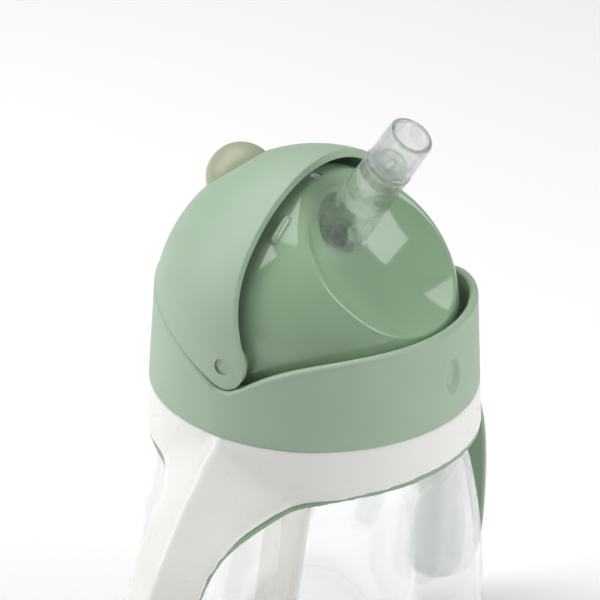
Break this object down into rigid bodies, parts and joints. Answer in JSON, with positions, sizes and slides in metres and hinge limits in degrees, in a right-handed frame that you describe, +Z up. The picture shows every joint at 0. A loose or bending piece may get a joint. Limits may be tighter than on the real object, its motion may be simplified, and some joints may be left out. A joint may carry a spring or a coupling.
{
  "type": "drinking bottle",
  "caption": "Toddler's drinking bottle with a clear body, screw lid, turning hood, folding silicone spout, long straw and a pair of looped side handles.",
  "frame": {"origin": "centre of the circle that the base stands on, at table height", "axes": "+Z up along the bottle's axis; -Y towards the spout and the front of the lid; X along the hood's pivots and through both handles"},
  "size_m": [0.137, 0.0808, 0.1572],
  "materials": {
    "clear_body": "clear moulded copolyester, polished inside and out",
    "white_frame": "warm white, satin to semi-gloss moulding",
    "lining_green": "soft sage green over-moulding, satin",
    "gasket": "translucent silicone, plain",
    "collar_green": "sage green with a fine matt grain and polished rim",
    "dome_green": "darker sage green, polished",
    "pin": "khaki green, plain",
    "valve": "white silicone, plain",
    "silicone": "clear moulded silicone, smooth",
    "inner_straw": "cream translucent tube, plain",
    "hood_green": "sage green with a fine matt grain and polished edge",
    "knob": "khaki green, satin"
  },
  "bodies": {
    "bottle": {"bottle_body": "clear_body", "handle_frame": "white_frame", "handle_lining": "lining_green"},
    "seal": {"lid_gasket": "gasket"},
    "lid": {"screw_collar": "collar_green", "dome_cover": "dome_green", "pivot_pin_left": "pin", "pivot_pin_right": "pin", "vent_valve": "valve", "straw_foot": "silicone", "long_straw": "inner_straw"},
    "hood": {"hood_cover": "hood_green", "hood_knob": "knob"},
    "spout_low": {"spout_lower": "silicone"},
    "spout_mid": {"spout_middle": "silicone"},
    "spout_tip": {"spout_mouth": "silicone"}
  },
  "joints": [
    {"name": "lid_rise", "type": "slide", "parent": "bottle", "child": "seal", "axis": [0, 0, 1], "range_m": [0, 0.005]},
    {"name": "lid_unscrew", "type": "hinge", "parent": "seal", "child": "lid", "pos_m": [0, 0, 0.0955], "axis": [0, 0, 1], "range_deg": [0, 450.1]},
    {"name": "hood_pivot", "type": "hinge", "parent": "lid", "child": "hood", "pos_m": [0, 0, 0.105], "axis": [1, 0, 0], "range_deg": [0, 77]},
    {"name": "spout_fold", "type": "hinge", "parent": "lid", "child": "spout_low", "pos_m": [0, -0.00941, 0.13077], "axis": [1, 0, 0], "range_deg": [0, 71.01], "deforming": ["spout_lower"]},
    {"name": "spout_bend", "type": "hinge", "parent": "spout_low", "child": "spout_mid", "pos_m": [0, -0.0137, 0.13752], "axis": [1, 0, 0], "range_deg": [0, 31.01], "deforming": ["spout_middle"]},
    {"name": "spout_curl", "type": "hinge", "parent": "spout_mid", "child": "spout_tip", "pos_m": [0, -0.01906, 0.14596], "axis": [1, 0, 0], "range_deg": [0, 19.01], "deforming": ["spout_mouth"]}
  ],
  "couplings": [
    {"joint": "lid_unscrew", "follows": "lid_rise", "rad_per_m": 1570.8},
    {"joint": "spout_fold", "follows": "hood_pivot", "ratio": 0.9221},
    {"joint": "spout_bend", "follows": "hood_pivot", "ratio": 0.4026},
    {"joint": "spout_curl", "follows": "hood_pivot", "ratio": 0.2468}
  ]
}
